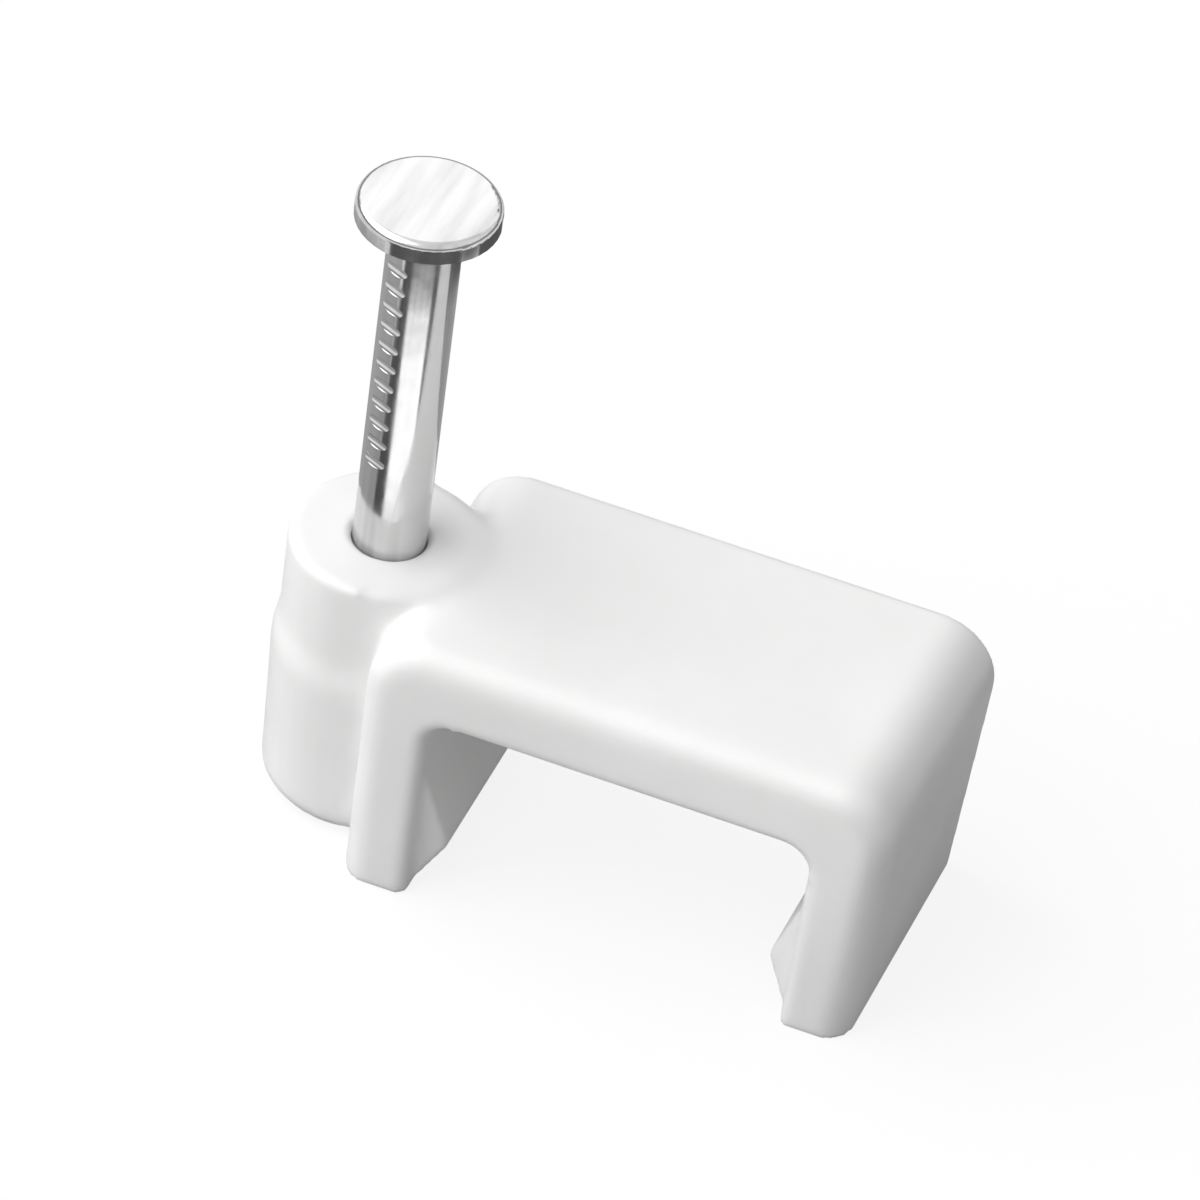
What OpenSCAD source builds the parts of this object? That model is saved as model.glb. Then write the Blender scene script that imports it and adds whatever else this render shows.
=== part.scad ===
// Nail-in cable clip: a moulded saddle that holds a flat cable against a wall,
// with a round boss at one end that carries a steel nail ready to be driven.
// The wall is the plane z = 0, the nail runs along Z and the cable runs along Y.

/* [Cable channel] */
// Clear width between the two legs at the wall
channel_w = 10.7; // [9:0.1:14]
// Clear height from the wall to the underside of the bridge
channel_h = 6.1; // [5.2:0.1:8]
// Fillet radius in the two upper corners of the channel
channel_r = 0.8; // [0.3:0.1:1]
// Rounding of the channel's front edge, where the cable enters
mouth_r = 0.35; // [0.2:0.05:0.6]

/* [Saddle] */
// Depth of the saddle along the cable
saddle_d = 8.3; // [7.6:0.1:11]
// Thickness of the bridge over the cable
bridge_t = 2.3; // [1.9:0.1:3.5]
// Thickness of the leg beside the nail
near_leg_t = 1.95; // [1.7:0.05:2.3]
// Thickness of the far leg at its foot
far_leg_t = 1.9; // [1.7:0.05:2.6]
// Inward slope of the far leg's outer face, in degrees
leg_draft = 4; // [0:0.5:6]
// Inward slope of the far leg's inner face, in degrees
wall_draft = 2; // [0:0.5:3]
// Outer radius of the two shoulders, where the bridge turns into the legs
shoulder_r = 1.7; // [1.2:0.1:1.8]
// Rounding of the saddle's outer edge on its front
front_r = 0.85; // [0.3:0.05:1]
// Rounding of the edges on its back, where the mould parts
back_r = 0.15; // [0.1:0.05:0.3]

/* [Nail boss] */
// Distance from the nail's axis to the near wall of the channel
boss_offset = 2.9; // [2.6:0.1:3.5]
// Radius of the boss just below its step
boss_r = 2.85; // [2.7:0.05:3.4]
// Taper of the boss from its step down to its foot, in degrees
boss_draft = 1.5; // [0:0.5:3]
// Depth of the small step on the boss
boss_step = 0.15; // [0.05:0.05:0.3]
// Height above the wall where that step begins
boss_step_z = 4.7; // [3:0.1:5.5]
// Height over which the step runs out in a double curve
boss_step_h = 1.4; // [0.5:0.1:1.6]
// How far the boss's top stands above the bridge
boss_rise = 0.1; // [0.05:0.05:0.4]
// Rounding of the boss's upper rim
boss_top_r = 0.2; // [0.1:0.05:0.5]
// Rounding of the boss's lower rim
boss_foot_r = 0.6; // [0.2:0.05:0.7]
// Gap between the wall and the underside of the boss
boss_lift = 0.1; // [0.05:0.05:0.5]
// Width of the web that levels the top between boss and bridge
web_w = 3.6; // [2.6:0.1:4]
// Rounding of the web's two upper edges
web_r = 0.6; // [0.2:0.1:1]

/* [Grip ribs] */
// How far each rib stands into the channel
rib_h = 0.75; // [0.6:0.05:1.1]
// Height of the rib's crest above the wall
rib_crest_z = 1.5; // [1:0.1:2.4]
// Height where the rib's long upper ramp leaves the leg
rib_top_z = 4; // [3.2:0.1:5]
// Height where the rib's short lead-in ramp leaves the leg
rib_foot_z = 0.2; // [0.1:0.1:0.6]
// Rounding of the crest
rib_crest_r = 0.45; // [0.15:0.05:0.55]
// Distance from each end of a rib's crest to the saddle's front or back
rib_inset = 0.9; // [0.8:0.1:2.2]
// Length of the slope at each end of a rib
rib_end = 0.4; // [0.1:0.1:0.6]

/* [Nail] */
// Diameter of the shank
nail_d = 2; // [1.6:0.1:2.4]
// Length from the point to the top of the head
nail_l = 18; // [16:0.5:19]
// How far the top of the head stands above the bridge
nail_stand = 11.5; // [10:0.1:12.5]
// Diameter of the head
head_d = 3.9; // [3:0.1:4.5]
// Thickness of the head's rim
head_t = 0.6; // [0.3:0.05:0.8]
// Height of the cone that joins the head to the shank
head_cone_h = 0.7; // [0.4:0.05:0.9]
// Rounding of the head's upper rim
head_edge_r = 0.22; // [0.05:0.01:0.28]
// Length of the four-sided point
point_l = 2.8; // [2:0.1:4]
// Gap between the shank and the wall of its bore, on the radius
bore_gap = 0.02; // [0.01:0.01:0.05]
// Width and depth of the countersink at the top of that bore
bore_lead = 0.15; // [0.05:0.05:0.5]

/* [Grip marks on the nail] */
// Number of marks in each of the two rows
mark_n = 11; // [1:1:11]
// Direction of the rows from the nail's axis, in degrees from X
mark_turn = 65; // [0:5:175]
// Distance from one mark to the next
mark_pitch = 0.65; // [0.5:0.05:0.7]
// Depth of a mark
mark_depth = 0.07; // [0.03:0.01:0.1]
// Radius of the tool that pressed the marks
mark_r = 0.25; // [0.15:0.05:0.3]
// Distance from the underside of the head's cone to the first mark
mark_start = 0.6; // [0.4:0.1:1.5]

/* [Hidden] */
$fn = 96;

// Overlap that keeps cuts and joins clear of shared faces
over = 0.2;

// Saddle: heights and places along X
saddle_h = channel_h + bridge_t;
near_wall = boss_offset;
far_wall = near_wall + channel_w;
near_side = near_wall - near_leg_t;
far_foot = far_wall + far_leg_t;
shoulder_z = saddle_h - shoulder_r;
near_shoulder = near_side + shoulder_r;
boss_top = saddle_h + boss_rise;
// The far shoulder meets the sloping outer face where that face reaches the foot's edge
far_shoulder = far_foot - shoulder_r * cos(leg_draft)
    + (shoulder_z - shoulder_r * sin(leg_draft)) * tan(leg_draft);

// Axes of the channel's two upper corners, the far one touching the sloping wall
corner_z = channel_h - channel_r;
near_corner = near_wall + channel_r;
far_corner = far_wall + (corner_z * sin(wall_draft) - channel_r) / cos(wall_draft);
far_touch_z = corner_z - channel_r * sin(wall_draft);

// Nail: heights along Z
nail_top = saddle_h + nail_stand;
nail_tip = nail_top - nail_l;
head_under = nail_top - head_t;
neck_z = head_under - head_cone_h;

// Quarter of a disc in the corner between +X and +Y.
module quarter(r) {
    intersection() {
        circle(r);
        square(r);
    }
}

// Half of a bar's section: it reaches out along X and spans y0 to y1, rounded by r0 and r1.
module rounded_half(reach, y0, r0, y1, r1) {
    translate([0, y0 + r0])
        square([reach, y1 - r1 - y0 - r0]);
    translate([0, y0])
        square([reach - r0, y1 - r1 - y0]);
    translate([0, y0 + r0])
        square([reach - r1, y1 - y0 - r0]);
    translate([reach - r0, y0 + r0])
        mirror([0, 1])
            quarter(r0);
    translate([reach - r1, y1 - r1])
        quarter(r1);
}

// Half section of the saddle's outer rim, front at -Y.
module rim(reach) {
    rounded_half(reach, -saddle_d / 2, front_r, saddle_d / 2, back_r);
}

// One shoulder: the rim turned about an axis along Y, from one angle above +X to another.
module shoulder(x, from_angle, to_angle) {
    translate([x, 0, shoulder_z])
        rotate([90, 0, 0])
            rotate([0, 0, from_angle])
                rotate_extrude(angle = to_angle - from_angle)
                    mirror([0, 1])
                        rim(shoulder_r);
}

// The saddle before its channel is cut: bridge, shoulders and outer legs.
module saddle_block() {
    slope_l = shoulder_z / cos(leg_draft) + shoulder_r;
    // Bridge, full height over the channel
    translate([far_shoulder, 0, 0])
        rotate([0, -90, 0])
            linear_extrude(far_shoulder - near_shoulder)
                rim(saddle_h);
    // Near leg and its shoulder
    translate([near_shoulder, 0, 0])
        mirror([1, 0, 0])
            linear_extrude(shoulder_z)
                rim(shoulder_r);
    shoulder(near_shoulder, 90, 180);
    // Far leg, which leans in towards its foot, and its shoulder
    difference() {
        translate([far_shoulder, 0, shoulder_z])
            rotate([0, leg_draft, 0])
                translate([0, 0, -slope_l])
                    linear_extrude(slope_l)
                        rim(shoulder_r);
        translate([0, -saddle_d, -2 * saddle_h])
            cube([2 * far_foot, 2 * saddle_d, 2 * saddle_h]);
    }
    shoulder(far_shoulder, -leg_draft, 90);
}

// Section of the channel in the XZ plane, with its two upper corners filleted.
module channel_section() {
    polygon([
        [near_wall, -over],
        [far_wall - over * tan(wall_draft), -over],
        [far_wall + far_touch_z * tan(wall_draft), far_touch_z],
        [far_corner, corner_z],
        [far_corner, channel_h],
        [near_corner, channel_h],
        [near_corner, corner_z],
        [near_wall, corner_z]
    ]);
    for (x = [near_corner, far_corner])
        translate([x, corner_z])
            circle(channel_r);
}

// What rounding by r takes off a square edge: X runs into the wall, Y runs in from the face.
module mouth_section(r) {
    difference() {
        translate([-over, -over])
            square(r + over);
        translate([r, r])
            circle(r);
    }
}

// Rounds the channel's front edge by r along both legs, both corners and the bridge.
module mouth_cut(r) {
    translate([0, -saddle_d / 2, 0]) {
        // Legs
        translate([far_wall, 0, 0])
            rotate([0, wall_draft, 0])
                translate([0, 0, -over])
                    linear_extrude(far_touch_z / cos(wall_draft) + over)
                        mouth_section(r);
        translate([near_wall, 0, -over])
            linear_extrude(corner_z + over)
                mirror([1, 0])
                    mouth_section(r);
        // Underside of the bridge
        translate([far_corner, 0, channel_h])
            rotate([0, -90, 0])
                linear_extrude(far_corner - near_corner)
                    mouth_section(r);
        // Upper corners
        translate([far_corner, 0, corner_z])
            mouth_corner(r, 90 + wall_draft);
        translate([near_corner, 0, corner_z])
            mirror([1, 0, 0])
                mouth_corner(r, 90);
    }
}

// The same rounding turned about a corner's axis, from +Z down towards +X.
module mouth_corner(r, turn) {
    rotate([-90, 0, 0])
        rotate([0, 0, -90])
            rotate_extrude(angle = turn)
                translate([channel_r, 0])
                    mouth_section(r);
}

// Long upper ramp, rounded crest and short lead-in of a grip rib, standing out along +X.
module rib_section() {
    crest = [rib_h - rib_crest_r, rib_crest_z];
    top = [0, rib_top_z];
    foot = [0, rib_foot_z];
    polygon([
        [-over, rib_foot_z],
        foot,
        touch_point(foot, crest, rib_crest_r, -1),
        crest,
        touch_point(top, crest, rib_crest_r, 1),
        top,
        [-over, rib_top_z]
    ]);
    translate(crest)
        circle(rib_crest_r);
}

// Point where a line from p touches the circle about c, on its left (1) or right (-1).
function touch_point(p, c, r, side) =
    let (
        away = c - p,
        length = norm(away),
        turn = asin(r / length),
        angle = atan2(away.y, away.x) + side * turn
    )
    p + sqrt(length * length - r * r) * [cos(angle), sin(angle)];

// A grip rib that stands out along +X from a wall at x = 0, sloping back into it at both ends.
module rib() {
    crest_half = saddle_d / 2 - rib_inset;
    base_half = crest_half + rib_end;
    intersection() {
        translate([0, base_half, 0])
            rotate([90, 0, 0])
                linear_extrude(2 * base_half)
                    rib_section();
        linear_extrude(rib_top_z)
            polygon([
                [-over, -base_half],
                [0, -base_half],
                [rib_h, -crest_half],
                [rib_h, crest_half],
                [0, base_half],
                [-over, base_half]
            ]);
    }
}

// Half section of the boss, from its axis out along X and up along Y.
module boss_section() {
    top_reach = boss_r - boss_step;
    step_top = boss_step_z + boss_step_h;
    step_mid = boss_step_z + boss_step_h / 2;
    step_r = (boss_step * boss_step + boss_step_h * boss_step_h) / (4 * boss_step);
    // Axis of the lower rim's rounding, which touches the underside and the tapered side
    foot_z = boss_lift + boss_foot_r;
    foot = [boss_r - ((boss_step_z - foot_z) * sin(boss_draft) + boss_foot_r) / cos(boss_draft), foot_z];
    // Below the step, tapered, with its lower rim rounded
    polygon([
        [0, boss_lift],
        [foot.x, boss_lift],
        foot,
        foot + boss_foot_r * [cos(boss_draft), -sin(boss_draft)],
        [boss_r, boss_step_z],
        [0, boss_step_z]
    ]);
    translate(foot)
        circle(boss_foot_r);
    // Lower half of the step, curved outwards
    intersection() {
        translate([boss_r - step_r, boss_step_z])
            circle(step_r);
        translate([0, boss_step_z])
            square([boss_r, boss_step_h / 2]);
    }
    // Upper half of the step, curved inwards
    difference() {
        translate([0, step_mid])
            square([boss_r - boss_step / 2, boss_step_h / 2]);
        translate([top_reach + step_r, step_top])
            circle(step_r);
    }
    // Above the step, with its upper rim rounded
    translate([0, boss_lift])
        square([top_reach - boss_top_r, boss_top - boss_lift]);
    translate([0, boss_step_z - over])
        square([top_reach, boss_top - boss_top_r - boss_step_z + over]);
    translate([top_reach - boss_top_r, boss_top - boss_top_r])
        quarter(boss_top_r);
}

// Round boss that carries the nail, with a small curved step in its side.
module boss() {
    rotate_extrude()
        boss_section();
}

// Web that carries the bridge's flat top up to the boss, over the rounded shoulder.
module web() {
    translate([near_shoulder + over, 0, 0])
        rotate([0, -90, 0])
            linear_extrude(near_shoulder + over)
                translate([shoulder_z, 0])
                    rounded_half(shoulder_r, -web_w / 2, web_r, web_w / 2, web_r);
}

// Bore for the nail, countersunk at the boss's top.
module bore() {
    bore_r = nail_d / 2 + bore_gap;
    rotate_extrude()
        polygon([
            [0, -over],
            [bore_r, -over],
            [bore_r, boss_top - bore_lead],
            [bore_r + bore_lead, boss_top],
            [bore_r + bore_lead, boss_top + over],
            [0, boss_top + over]
        ]);
}

// Moulded body: saddle, boss and grip ribs in one piece, bored for the nail.
module clip_body() {
    color("whitesmoke")
        difference() {
            union() {
                difference() {
                    union() {
                        saddle_block();
                        boss();
                        web();
                    }
                    translate([0, saddle_d, 0])
                        rotate([90, 0, 0])
                            linear_extrude(2 * saddle_d)
                                channel_section();
                    mouth_cut(mouth_r);
                    mirror([0, 1, 0])
                        mouth_cut(back_r);
                }
                translate([near_wall, 0, 0])
                    rib();
                translate([far_wall, 0, 0])
                    rotate([0, wall_draft, 0])
                        mirror([1, 0, 0])
                            rib();
            }
            bore();
        }
}

// Two flat flanks that meet in an edge along Y at the nail's tip.
module point_flanks() {
    half = nail_d / 2;
    rotate([90, 0, 0])
        linear_extrude(2 * nail_d, center = true)
            polygon([
                [0, nail_tip],
                [half, nail_tip + point_l],
                [half + over, nail_tip + point_l],
                [half + over, head_under],
                [-half - over, head_under],
                [-half - over, nail_tip + point_l],
                [-half, nail_tip + point_l]
            ]);
}

// Shank with its four-sided point and the marks of the tool that gripped it, up into the head.
module shank() {
    difference() {
        intersection() {
            translate([0, 0, nail_tip])
                cylinder(d = nail_d, h = head_under - nail_tip);
            point_flanks();
            rotate([0, 0, 90])
                point_flanks();
        }
        rotate([0, 0, mark_turn])
            for (side = [-1, 1], i = [0 : mark_n - 1])
                translate([side * (nail_d / 2 + mark_r - mark_depth), 0, neck_z - mark_start - i * mark_pitch])
                    rotate([90, 0, 0])
                        cylinder(r = mark_r, h = nail_d, center = true);
    }
}

// Flat head with a rounded rim, on a cone that grows out of the shank.
module head() {
    rim_r = head_d / 2;
    rotate_extrude() {
        polygon([
            [0, neck_z],
            [nail_d / 2, neck_z],
            [rim_r, head_under],
            [rim_r, nail_top - head_edge_r],
            [rim_r - head_edge_r, nail_top],
            [0, nail_top]
        ]);
        translate([rim_r - head_edge_r, nail_top - head_edge_r])
            circle(head_edge_r);
    }
}

// Plated steel nail, standing in the boss.
module nail() {
    color("silver") {
        shank();
        head();
    }
}

clip_body();
nail();
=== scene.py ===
# Nail-in cable clip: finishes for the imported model, a pale studio and the photograph's camera.
from math import cos, radians, sin

import bpy
from mathutils import Matrix, Quaternion, Vector

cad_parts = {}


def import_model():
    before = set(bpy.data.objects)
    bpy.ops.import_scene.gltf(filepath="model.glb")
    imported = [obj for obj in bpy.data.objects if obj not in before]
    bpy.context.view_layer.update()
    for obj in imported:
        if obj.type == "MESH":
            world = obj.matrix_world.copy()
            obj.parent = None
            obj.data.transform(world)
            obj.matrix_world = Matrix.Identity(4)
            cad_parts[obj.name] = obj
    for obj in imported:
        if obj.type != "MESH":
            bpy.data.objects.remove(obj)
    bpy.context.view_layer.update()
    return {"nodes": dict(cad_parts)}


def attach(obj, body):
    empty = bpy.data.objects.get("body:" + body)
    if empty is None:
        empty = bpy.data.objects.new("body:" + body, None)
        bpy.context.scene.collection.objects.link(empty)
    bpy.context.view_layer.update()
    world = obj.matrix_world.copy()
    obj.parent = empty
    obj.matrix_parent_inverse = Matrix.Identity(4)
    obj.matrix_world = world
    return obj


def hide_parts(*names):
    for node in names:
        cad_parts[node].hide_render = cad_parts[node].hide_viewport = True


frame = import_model()

# One millimetre, in the scene's metres
MM = 0.001

# Moulding, in millimetres: grid of the softened copy, passes that round its edges, how far one pass
# takes a corner towards its neighbours, and the radius around the nail that stays crisp
VOXEL = 0.095
SOFTEN_PASSES = 5
PASS_SHARE = 0.5
CRISP_RADIUS = 1.4

# Crease between boss and saddle, in millimetres: its distance from the nail's axis, how far to
# each side it is filled, the passes that fill it, the bounds of the near leg it runs along, and the
# height above the wall below which the fill fades out
CREASE_RADIUS = 2.85
CREASE_REACH = 1.2
CREASE_PASSES = 80
CREASE_START_X = 0.2
CREASE_END_X = 2.4
CREASE_TOP_Z = 7.6
CREASE_FADE_Z = 1.8

# Noise of both materials: the part of its range that tones and roughness are spread over
NOISE_RANGE = (0.3, 0.7)

# Noise of the plastic, each with its cells to the metre and its levels of detail: clouds of tone,
# patches of gloss, sink waves and the grain of the mould
CLOUDS = (210.0, 3.0)
GLOSS_PATCHES = (900.0, 4.0)
SINK_WAVES = (330.0, 1.0)
MOULD_GRAIN = (5200.0, 2.0)

# Plastic: darkest and lightest tone, each with its warmth, least and most roughness, and the strength
# and depth in millimetres of the waves and of the grain
PLASTIC_DARK = (0.84, 0.006)
PLASTIC_LIGHT = (0.88, 0.003)
PLASTIC_ROUGHNESS = (0.30, 0.42)
WAVE_RELIEF = (0.30, 0.030)
GRAIN_RELIEF = (0.20, 0.006)

# Light inside the plastic: the share that enters, the depth in millimetres that it spreads to, the
# part of that depth for red, green and blue, and the refractive index
INNER_SHARE = 0.12
INNER_DEPTH = 0.6
INNER_SPREAD = (1.0, 1.0, 0.95)
PLASTIC_INDEX = 1.5

# Noise of the steel, in the same way: lines drawn along the shank and wipes across the head, both
# with the scale along each axis that draws them out, and patches of gloss
DRAWN_LINES = (1700.0, 3.0)
DRAWN_STRETCH = (1.0, 1.0, 0.03)
HEAD_WIPES = (1500.0, 3.0)
WIPED_STRETCH = (0.9, 0.12, 1.0)
STEEL_PATCHES = (1400.0, 3.0)

# Steel: places along the streaks with their tones, least and most roughness, the strength and depth
# in millimetres of the lines and of the pits, and how far up a face looks where wipes replace lines
STEEL_TONES = ((0.32, 0.50), (0.46, 0.60), (0.62, 0.68))
STEEL_ROUGHNESS = (0.09, 0.20)
LINE_RELIEF = (0.20, 0.010)
PIT_RELIEF = (0.12, 0.010)
HEAD_FACING = (0.80, 0.95)

# Camera: place and aim in metres, how far it leans about its own view, its focal length in
# millimetres, and the nearest distance in metres that it shows
CAMERA_AT = Vector((0.0767, -0.2417, 0.2223))
CAMERA_AIM = Vector((0.0060, 0.0, 0.0086))
CAMERA_LEAN = radians(7.75)
LENS = 375.0
NEAREST = 0.01

# Key lamp: place and edge length in metres, and power in watts
KEY_AT = (-0.45, -0.21, 0.42)
KEY_SIZE = 1.00
KEY_POWER = 6.4

# Studio: floor half size in metres, the tone that its bounced light has, how much of the white that
# the camera sees comes from the ground itself rather than from the light on it, and the light that
# comes from the horizon and from overhead
FLOOR_REACH = 1.5
BOUNCE_TONE = 0.45
GROUND_SHARE = 0.85
LIGHT_LOW = 0.25
LIGHT_HIGH = 0.59

# Painted reflections on the nail, as patches of the floor that only reflections show: dark ones are
# painted shade in place of neighbouring clips that are not in the scene and their shadows, and the
# bright one in front, brighter than white, is a painted highlight stripe. The nearest and farthest
# distance from the nail in millimetres, the two directions in degrees between which a patch lies,
# and its tone; then their height above the floor
PAINTED_PATCHES = {
    "left_painted_shade": (9.5, 26.0, 106.0, 226.0, 0.45),
    "left_edge_painted_shade": (9.5, 22.0, 228.0, 260.0, 0.12),
    "front_painted_highlight": (13.0, 22.0, 262.0, 326.0, 1.60),
    "right_painted_shade": (9.5, 22.0, 28.0, 106.0, 0.40),
    "rim_painted_shade": (22.2, 48.0, 235.0, 450.0, 0.12),
}
PATCH_LIFT = 0.04

# Backdrop that only reflections show, as painted reflections that light nothing: a dim room, darker
# than white, and a window, brighter than white, that paints a highlight on the nail's head. Distance
# from the nail, bottom and top in millimetres, the two directions in degrees between which it
# stands, and its tone
BACKDROPS = {
    "dim_room_reflection": (600.0, 0.0, 240.0, 0.0, 360.0, 0.35),
    "window_painted_highlight": (450.0, 250.0, 600.0, 62.0, 150.0, 1.50),
}

# Flat faces in each patch and in each backdrop
ARC_STEPS = 12

# Painted shade on the floor close to the clip, standing for the clip's shadow, which only reflections
# show: the bounds in millimetres, the height above the floor, and the tone
SHADE_FROM = (-14.0, -11.0)
SHADE_TO = (28.0, 22.0)
SHADE_LIFT = 0.02
SHADE_TONE = 0.25


def grey(level, warmth=0.0):
    """A neutral colour, a little warm where asked."""
    return (level, level, level * (1.0 - warmth), 1.0)


def new_material(name):
    """A node material with its surface shader."""
    material = bpy.data.materials.new(name)
    material.use_nodes = True
    tree = material.node_tree
    return material, tree, tree.nodes["Principled BSDF"]


def noise(tree, coords, fineness, stretch=(1.0, 1.0, 1.0)):
    """Noise with its cells and detail over the object's own coordinates, scaled along its axes."""
    scale, detail = fineness
    mapping = tree.nodes.new("ShaderNodeMapping")
    mapping.inputs["Scale"].default_value = stretch
    tree.links.new(coords.outputs["Object"], mapping.inputs["Vector"])
    texture = tree.nodes.new("ShaderNodeTexNoise")
    texture.inputs["Scale"].default_value = scale
    texture.inputs["Detail"].default_value = detail
    tree.links.new(mapping.outputs["Vector"], texture.inputs["Vector"])
    return texture.outputs["Fac"]


def ramp(tree, factor, stops):
    """Colours along a factor, as pairs of position and colour."""
    node = tree.nodes.new("ShaderNodeValToRGB")
    elements = node.color_ramp.elements
    while len(elements) < len(stops):
        elements.new(0.5)
    for element, (position, colour) in zip(elements, stops):
        element.position = position
        element.color = colour
    tree.links.new(factor, node.inputs["Fac"])
    return node.outputs["Color"]


def span(tree, value, source, target):
    """A number that goes over the target range as a value goes over the source range."""
    node = tree.nodes.new("ShaderNodeMapRange")
    ends = ("From Min", "From Max", "To Min", "To Max")
    for end, number in zip(ends, source + target):
        node.inputs[end].default_value = number
    tree.links.new(value, node.inputs["Value"])
    return node.outputs["Result"]


def bump(tree, height, relief, below=None):
    """A bump with its strength and its depth in millimetres, on top of another one."""
    strength, depth = relief
    node = tree.nodes.new("ShaderNodeBump")
    node.inputs["Strength"].default_value = strength
    node.inputs["Distance"].default_value = depth * MM
    tree.links.new(height, node.inputs["Height"])
    if below is not None:
        tree.links.new(below, node.inputs["Normal"])
    return node.outputs["Normal"]


def blend(tree, factor, first, second):
    """One number where the factor is zero and another where it is one."""
    node = tree.nodes.new("ShaderNodeMix")
    tree.links.new(factor, node.inputs["Factor"])
    tree.links.new(first, node.inputs["A"])
    tree.links.new(second, node.inputs["B"])
    return node.outputs["Result"]


def moulded_plastic():
    """White polyethylene: clouded tone, faint sink waves, and the fine grain of the mould."""
    material, tree, shader = new_material("moulded_polyethylene")
    coords = tree.nodes.new("ShaderNodeTexCoord")
    colours = (grey(*PLASTIC_DARK), grey(*PLASTIC_LIGHT))
    tone = ramp(tree, noise(tree, coords, CLOUDS), list(zip(NOISE_RANGE, colours)))
    tree.links.new(tone, shader.inputs["Base Color"])
    gloss = noise(tree, coords, GLOSS_PATCHES)
    tree.links.new(span(tree, gloss, NOISE_RANGE, PLASTIC_ROUGHNESS), shader.inputs["Roughness"])
    waves = bump(tree, noise(tree, coords, SINK_WAVES), WAVE_RELIEF)
    grain = bump(tree, noise(tree, coords, MOULD_GRAIN), GRAIN_RELIEF, waves)
    tree.links.new(grain, shader.inputs["Normal"])
    shader.inputs["Subsurface Weight"].default_value = INNER_SHARE
    shader.inputs["Subsurface Radius"].default_value = INNER_SPREAD
    shader.inputs["Subsurface Scale"].default_value = INNER_DEPTH * MM
    shader.inputs["IOR"].default_value = PLASTIC_INDEX
    return material


def plated_steel():
    """Bright zinc-plated wire: drawn along the shank, and wiped in one direction on the head."""
    material, tree, shader = new_material("zinc_plated_steel")
    coords = tree.nodes.new("ShaderNodeTexCoord")
    facing = tree.nodes.new("ShaderNodeSeparateXYZ")
    tree.links.new(coords.outputs["Normal"], facing.inputs["Vector"])
    on_head = span(tree, facing.outputs["Z"], HEAD_FACING, (0.0, 1.0))
    drawn = noise(tree, coords, DRAWN_LINES, DRAWN_STRETCH)
    wiped = noise(tree, coords, HEAD_WIPES, WIPED_STRETCH)
    streaks = blend(tree, on_head, drawn, wiped)
    tone = ramp(tree, streaks, [(place, grey(level)) for place, level in STEEL_TONES])
    tree.links.new(tone, shader.inputs["Base Color"])
    gloss = noise(tree, coords, STEEL_PATCHES)
    tree.links.new(span(tree, gloss, NOISE_RANGE, STEEL_ROUGHNESS), shader.inputs["Roughness"])
    lines = bump(tree, streaks, LINE_RELIEF)
    pits = bump(tree, gloss, PIT_RELIEF, lines)
    tree.links.new(pits, shader.inputs["Normal"])
    shader.inputs["Metallic"].default_value = 1.0
    return material


def finished_mesh(piece):
    """The mesh that a piece's modifiers make of it."""
    graph = bpy.context.evaluated_depsgraph_get()
    return bpy.data.meshes.new_from_object(piece.evaluated_get(graph))


def crease_share(spot):
    """How much a spot of the moulding takes part in filling the crease between boss and saddle."""
    over_leg = CREASE_START_X < spot.x < CREASE_END_X
    over_top = spot.x > CREASE_START_X and spot.z > CREASE_TOP_Z
    if not (over_leg or over_top):
        return 0.0
    fade = min(1.0, spot.z / CREASE_FADE_Z)
    return fade * max(0.0, 1.0 - abs(spot.xy.length - CREASE_RADIUS) / CREASE_REACH)


def away_share(spot):
    """How much a spot of the moulding takes part in the general rounding: not at all by the nail."""
    return 1.0 if spot.xy.length > CRISP_RADIUS else 0.0


def smooth(piece, name, passes, share):
    """Smooths a piece as far as a share of each of its corners asks."""
    group = piece.vertex_groups.new(name=name)
    for vertex in piece.data.vertices:
        part = share(vertex.co)
        if part > 0.0:
            group.add([vertex.index], part, "REPLACE")
    step = piece.modifiers.new(name, "SMOOTH")
    step.factor = PASS_SHARE
    step.iterations = passes
    step.vertex_group = name


def softened(node, name):
    """A copy of a CAD node with its edges and creases softened, as a moulding leaves them."""
    mesh = frame["nodes"][node].data.copy()
    mesh.transform(Matrix.Scale(1.0 / MM, 4))
    piece = bpy.data.objects.new(name, mesh)
    bpy.context.scene.collection.objects.link(piece)
    remesh = piece.modifiers.new("Remesh", "REMESH")
    remesh.mode = "VOXEL"
    remesh.voxel_size = VOXEL
    remesh.use_smooth_shade = True
    piece.data = finished_mesh(piece)
    piece.modifiers.clear()
    smooth(piece, "crease", CREASE_PASSES, crease_share)
    smooth(piece, "away_from_nail", SOFTEN_PASSES, away_share)
    piece.data = finished_mesh(piece)
    piece.modifiers.clear()
    piece.vertex_groups.clear()
    piece.data.transform(Matrix.Scale(MM, 4))
    return piece


def dress(piece, material):
    """Puts one material on a piece."""
    piece.data.materials.clear()
    piece.data.materials.append(material)


def seen_directly(tree):
    """One where a ray comes from the camera, or through a reflection or glass, and zero elsewhere."""
    path = tree.nodes.new("ShaderNodeLightPath")
    total = path.outputs["Is Camera Ray"]
    for ray in ("Is Glossy Ray", "Is Transmission Ray"):
        widest = tree.nodes.new("ShaderNodeMath")
        widest.operation = "MAXIMUM"
        tree.links.new(total, widest.inputs[0])
        tree.links.new(path.outputs[ray], widest.inputs[1])
        total = widest.outputs["Value"]
    return total


def shader_material(name):
    """An empty node material and its output."""
    material = bpy.data.materials.new(name)
    material.use_nodes = True
    tree = material.node_tree
    tree.nodes.clear()
    return material, tree, tree.nodes.new("ShaderNodeOutputMaterial")


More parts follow.
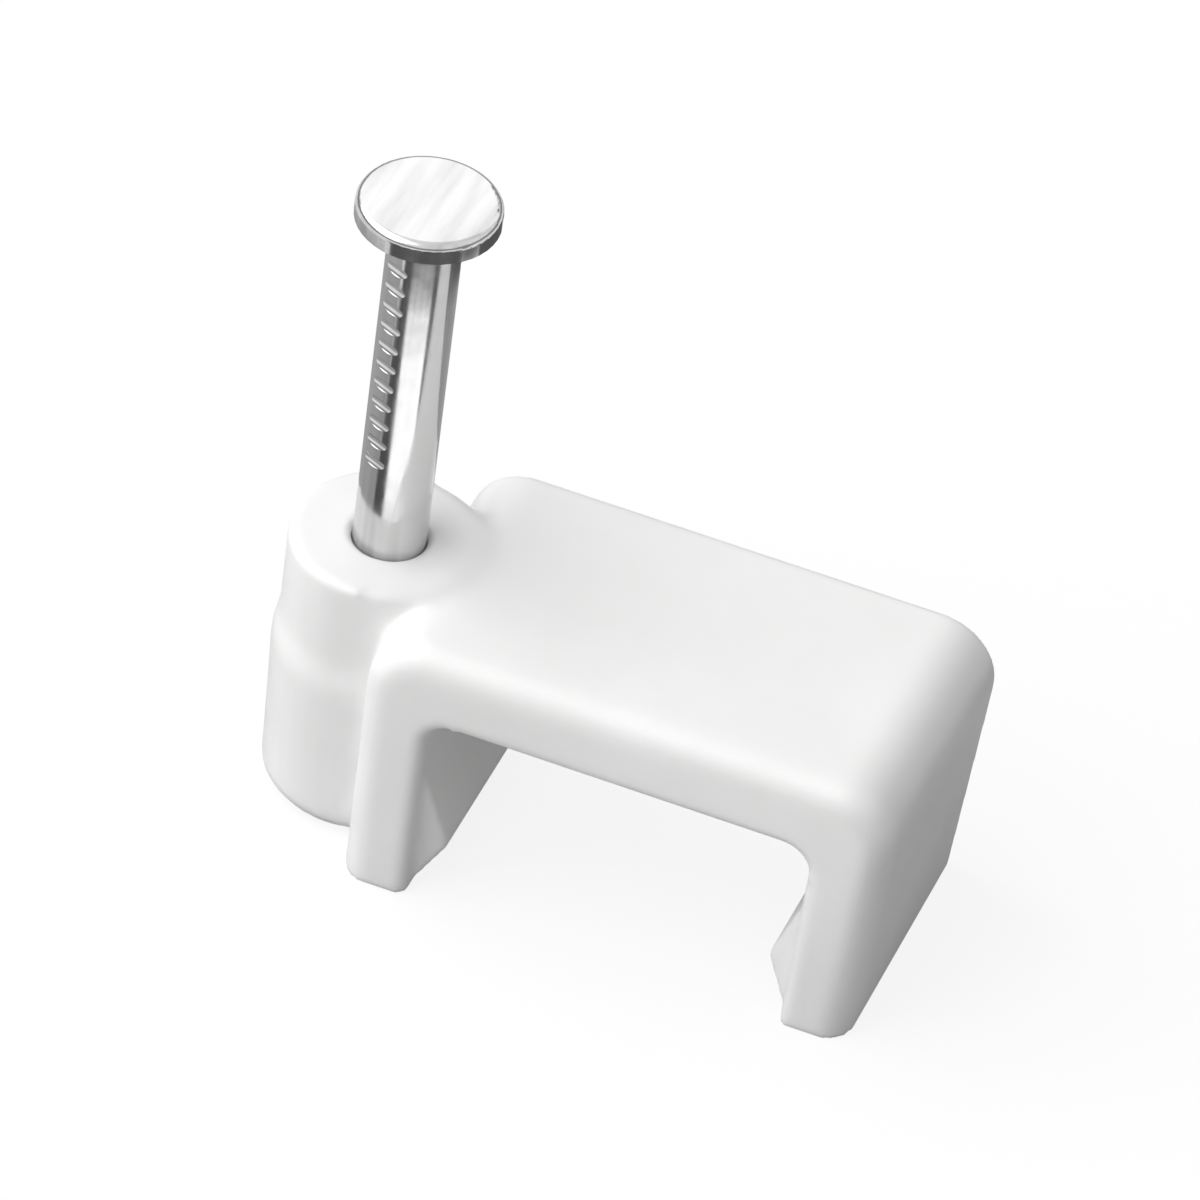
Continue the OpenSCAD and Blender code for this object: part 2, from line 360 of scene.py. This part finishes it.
def white_ground():
    """Matt paper that looks white where it is seen, keeps a soft shadow and bounces little light."""
    material, tree, out = shader_material("white_ground")
    bounce = tree.nodes.new("ShaderNodeBsdfDiffuse")
    bounce.inputs["Color"].default_value = grey(BOUNCE_TONE)
    paper = tree.nodes.new("ShaderNodeBsdfDiffuse")
    paper.inputs["Color"].default_value = grey(1.0)
    glow = tree.nodes.new("ShaderNodeEmission")
    seen = tree.nodes.new("ShaderNodeMixShader")
    seen.inputs["Fac"].default_value = GROUND_SHARE
    tree.links.new(paper.outputs["BSDF"], seen.inputs[1])
    tree.links.new(glow.outputs["Emission"], seen.inputs[2])
    mix = tree.nodes.new("ShaderNodeMixShader")
    tree.links.new(seen_directly(tree), mix.inputs["Fac"])
    tree.links.new(bounce.outputs["BSDF"], mix.inputs[1])
    tree.links.new(seen.outputs["Shader"], mix.inputs[2])
    tree.links.new(mix.outputs["Shader"], out.inputs["Surface"])
    return material


def stage_piece(name, corners, faces, material):
    """A piece of the studio, which is no part of the clip."""
    mesh = bpy.data.meshes.new(name)
    mesh.from_pydata(corners, [], faces)
    piece = bpy.data.objects.new(name, mesh)
    bpy.context.scene.collection.objects.link(piece)
    dress(piece, material)
    return piece


def floor():
    """The pale ground that the clip stands on."""
    reach = FLOOR_REACH
    corners = [(-reach, -reach, 0.0), (reach, -reach, 0.0), (reach, reach, 0.0), (-reach, reach, 0.0)]
    stage_piece("floor", corners, [(0, 1, 2, 3)], white_ground())


def painted_reflection_piece(name, corners, faces, level):
    """A studio piece, seen only in reflections, that paints them in an even tone; corners in
    millimetres.
    """
    material, tree, out = shader_material(name)
    tone = tree.nodes.new("ShaderNodeEmission")
    tone.inputs["Strength"].default_value = level
    tree.links.new(tone.outputs["Emission"], out.inputs["Surface"])
    piece = stage_piece(name, [Vector(corner) * MM for corner in corners], faces, material)
    piece.visible_camera = False
    piece.visible_diffuse = False
    piece.visible_shadow = False
    piece.visible_transmission = False


def arc(name, first, second, start, end, level):
    """A band around the nail between two edges, each with a radius and a height, and two directions."""
    corners = []
    for step in range(ARC_STEPS + 1):
        angle = radians(start + (end - start) * step / ARC_STEPS)
        for radius, height in (first, second):
            corners.append((radius * cos(angle), radius * sin(angle), height))
    faces = [(2 * i, 2 * i + 1, 2 * i + 3, 2 * i + 2) for i in range(ARC_STEPS)]
    painted_reflection_piece(name, corners, faces, level)


def painted_ground_shade():
    """Painted shade on the floor close to the clip, standing for its shadow in reflections."""
    (x0, y0), (x1, y1) = SHADE_FROM, SHADE_TO
    corners = [(x0, y0, SHADE_LIFT), (x1, y0, SHADE_LIFT), (x1, y1, SHADE_LIFT), (x0, y1, SHADE_LIFT)]
    painted_reflection_piece("painted_ground_shade", corners, [(0, 1, 2, 3)], SHADE_TONE)


def world():
    """White light that grows from the horizon to overhead, and plain white where it is seen."""
    surround = bpy.data.worlds.new("studio")
    bpy.context.scene.world = surround
    surround.use_nodes = True
    tree = surround.node_tree
    tree.nodes.clear()
    coords = tree.nodes.new("ShaderNodeTexCoord")
    towards = tree.nodes.new("ShaderNodeSeparateXYZ")
    tree.links.new(coords.outputs["Generated"], towards.inputs["Vector"])
    sky = ramp(tree, towards.outputs["Z"], [(0.0, grey(LIGHT_LOW)), (1.0, grey(LIGHT_HIGH))])
    light = tree.nodes.new("ShaderNodeBackground")
    tree.links.new(sky, light.inputs["Color"])
    white = tree.nodes.new("ShaderNodeBackground")
    white.inputs["Color"].default_value = grey(1.0)
    mix = tree.nodes.new("ShaderNodeMixShader")
    tree.links.new(seen_directly(tree), mix.inputs["Fac"])
    tree.links.new(light.outputs["Background"], mix.inputs[1])
    tree.links.new(white.outputs["Background"], mix.inputs[2])
    out = tree.nodes.new("ShaderNodeOutputWorld")
    tree.links.new(mix.outputs["Shader"], out.inputs["Surface"])


def lamp(name, place, size, power):
    """A soft square lamp that faces the clip."""
    light = bpy.data.lights.new(name, "AREA")
    light.size = size
    light.energy = power
    holder = bpy.data.objects.new(name, light)
    holder.location = place
    holder.rotation_euler = (CAMERA_AIM - holder.location).to_track_quat("-Z", "Y").to_euler()
    bpy.context.scene.collection.objects.link(holder)


def camera():
    """The photograph's camera, turned to the clip."""
    lens = bpy.data.cameras.new("camera")
    lens.lens = LENS
    lens.clip_start = NEAREST
    holder = bpy.data.objects.new("camera", lens)
    holder.location = CAMERA_AT
    level = (CAMERA_AIM - CAMERA_AT).to_track_quat("-Z", "Y")
    holder.rotation_mode = "QUATERNION"
    holder.rotation_quaternion = level @ Quaternion((0.0, 0.0, 1.0), CAMERA_LEAN)
    bpy.context.scene.collection.objects.link(holder)
    bpy.context.scene.camera = holder


moulding = softened("clip_body", "clip_moulding")
dress(moulding, moulded_plastic())
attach(moulding, "root")
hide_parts("clip_body")

nail = frame["nodes"]["nail"]
nail.material_slots[0].material = plated_steel()

floor()
# Painted shade under the clip, seen only in reflections
painted_ground_shade()
# Painted reflections on the nail: dark patches of painted shade and one bright painted highlight
for patch, (near, far, start, end, level) in PAINTED_PATCHES.items():
    arc(patch, (near, PATCH_LIFT), (far, PATCH_LIFT), start, end, level)
# Painted reflections of a dim room and of a window, which light nothing
for backdrop, (radius, bottom, top, start, end, level) in BACKDROPS.items():
    arc(backdrop, (radius, bottom), (radius, top), start, end, level)
world()
lamp("key", KEY_AT, KEY_SIZE, KEY_POWER)
camera()
bpy.context.scene.view_settings.view_transform = "Standard"
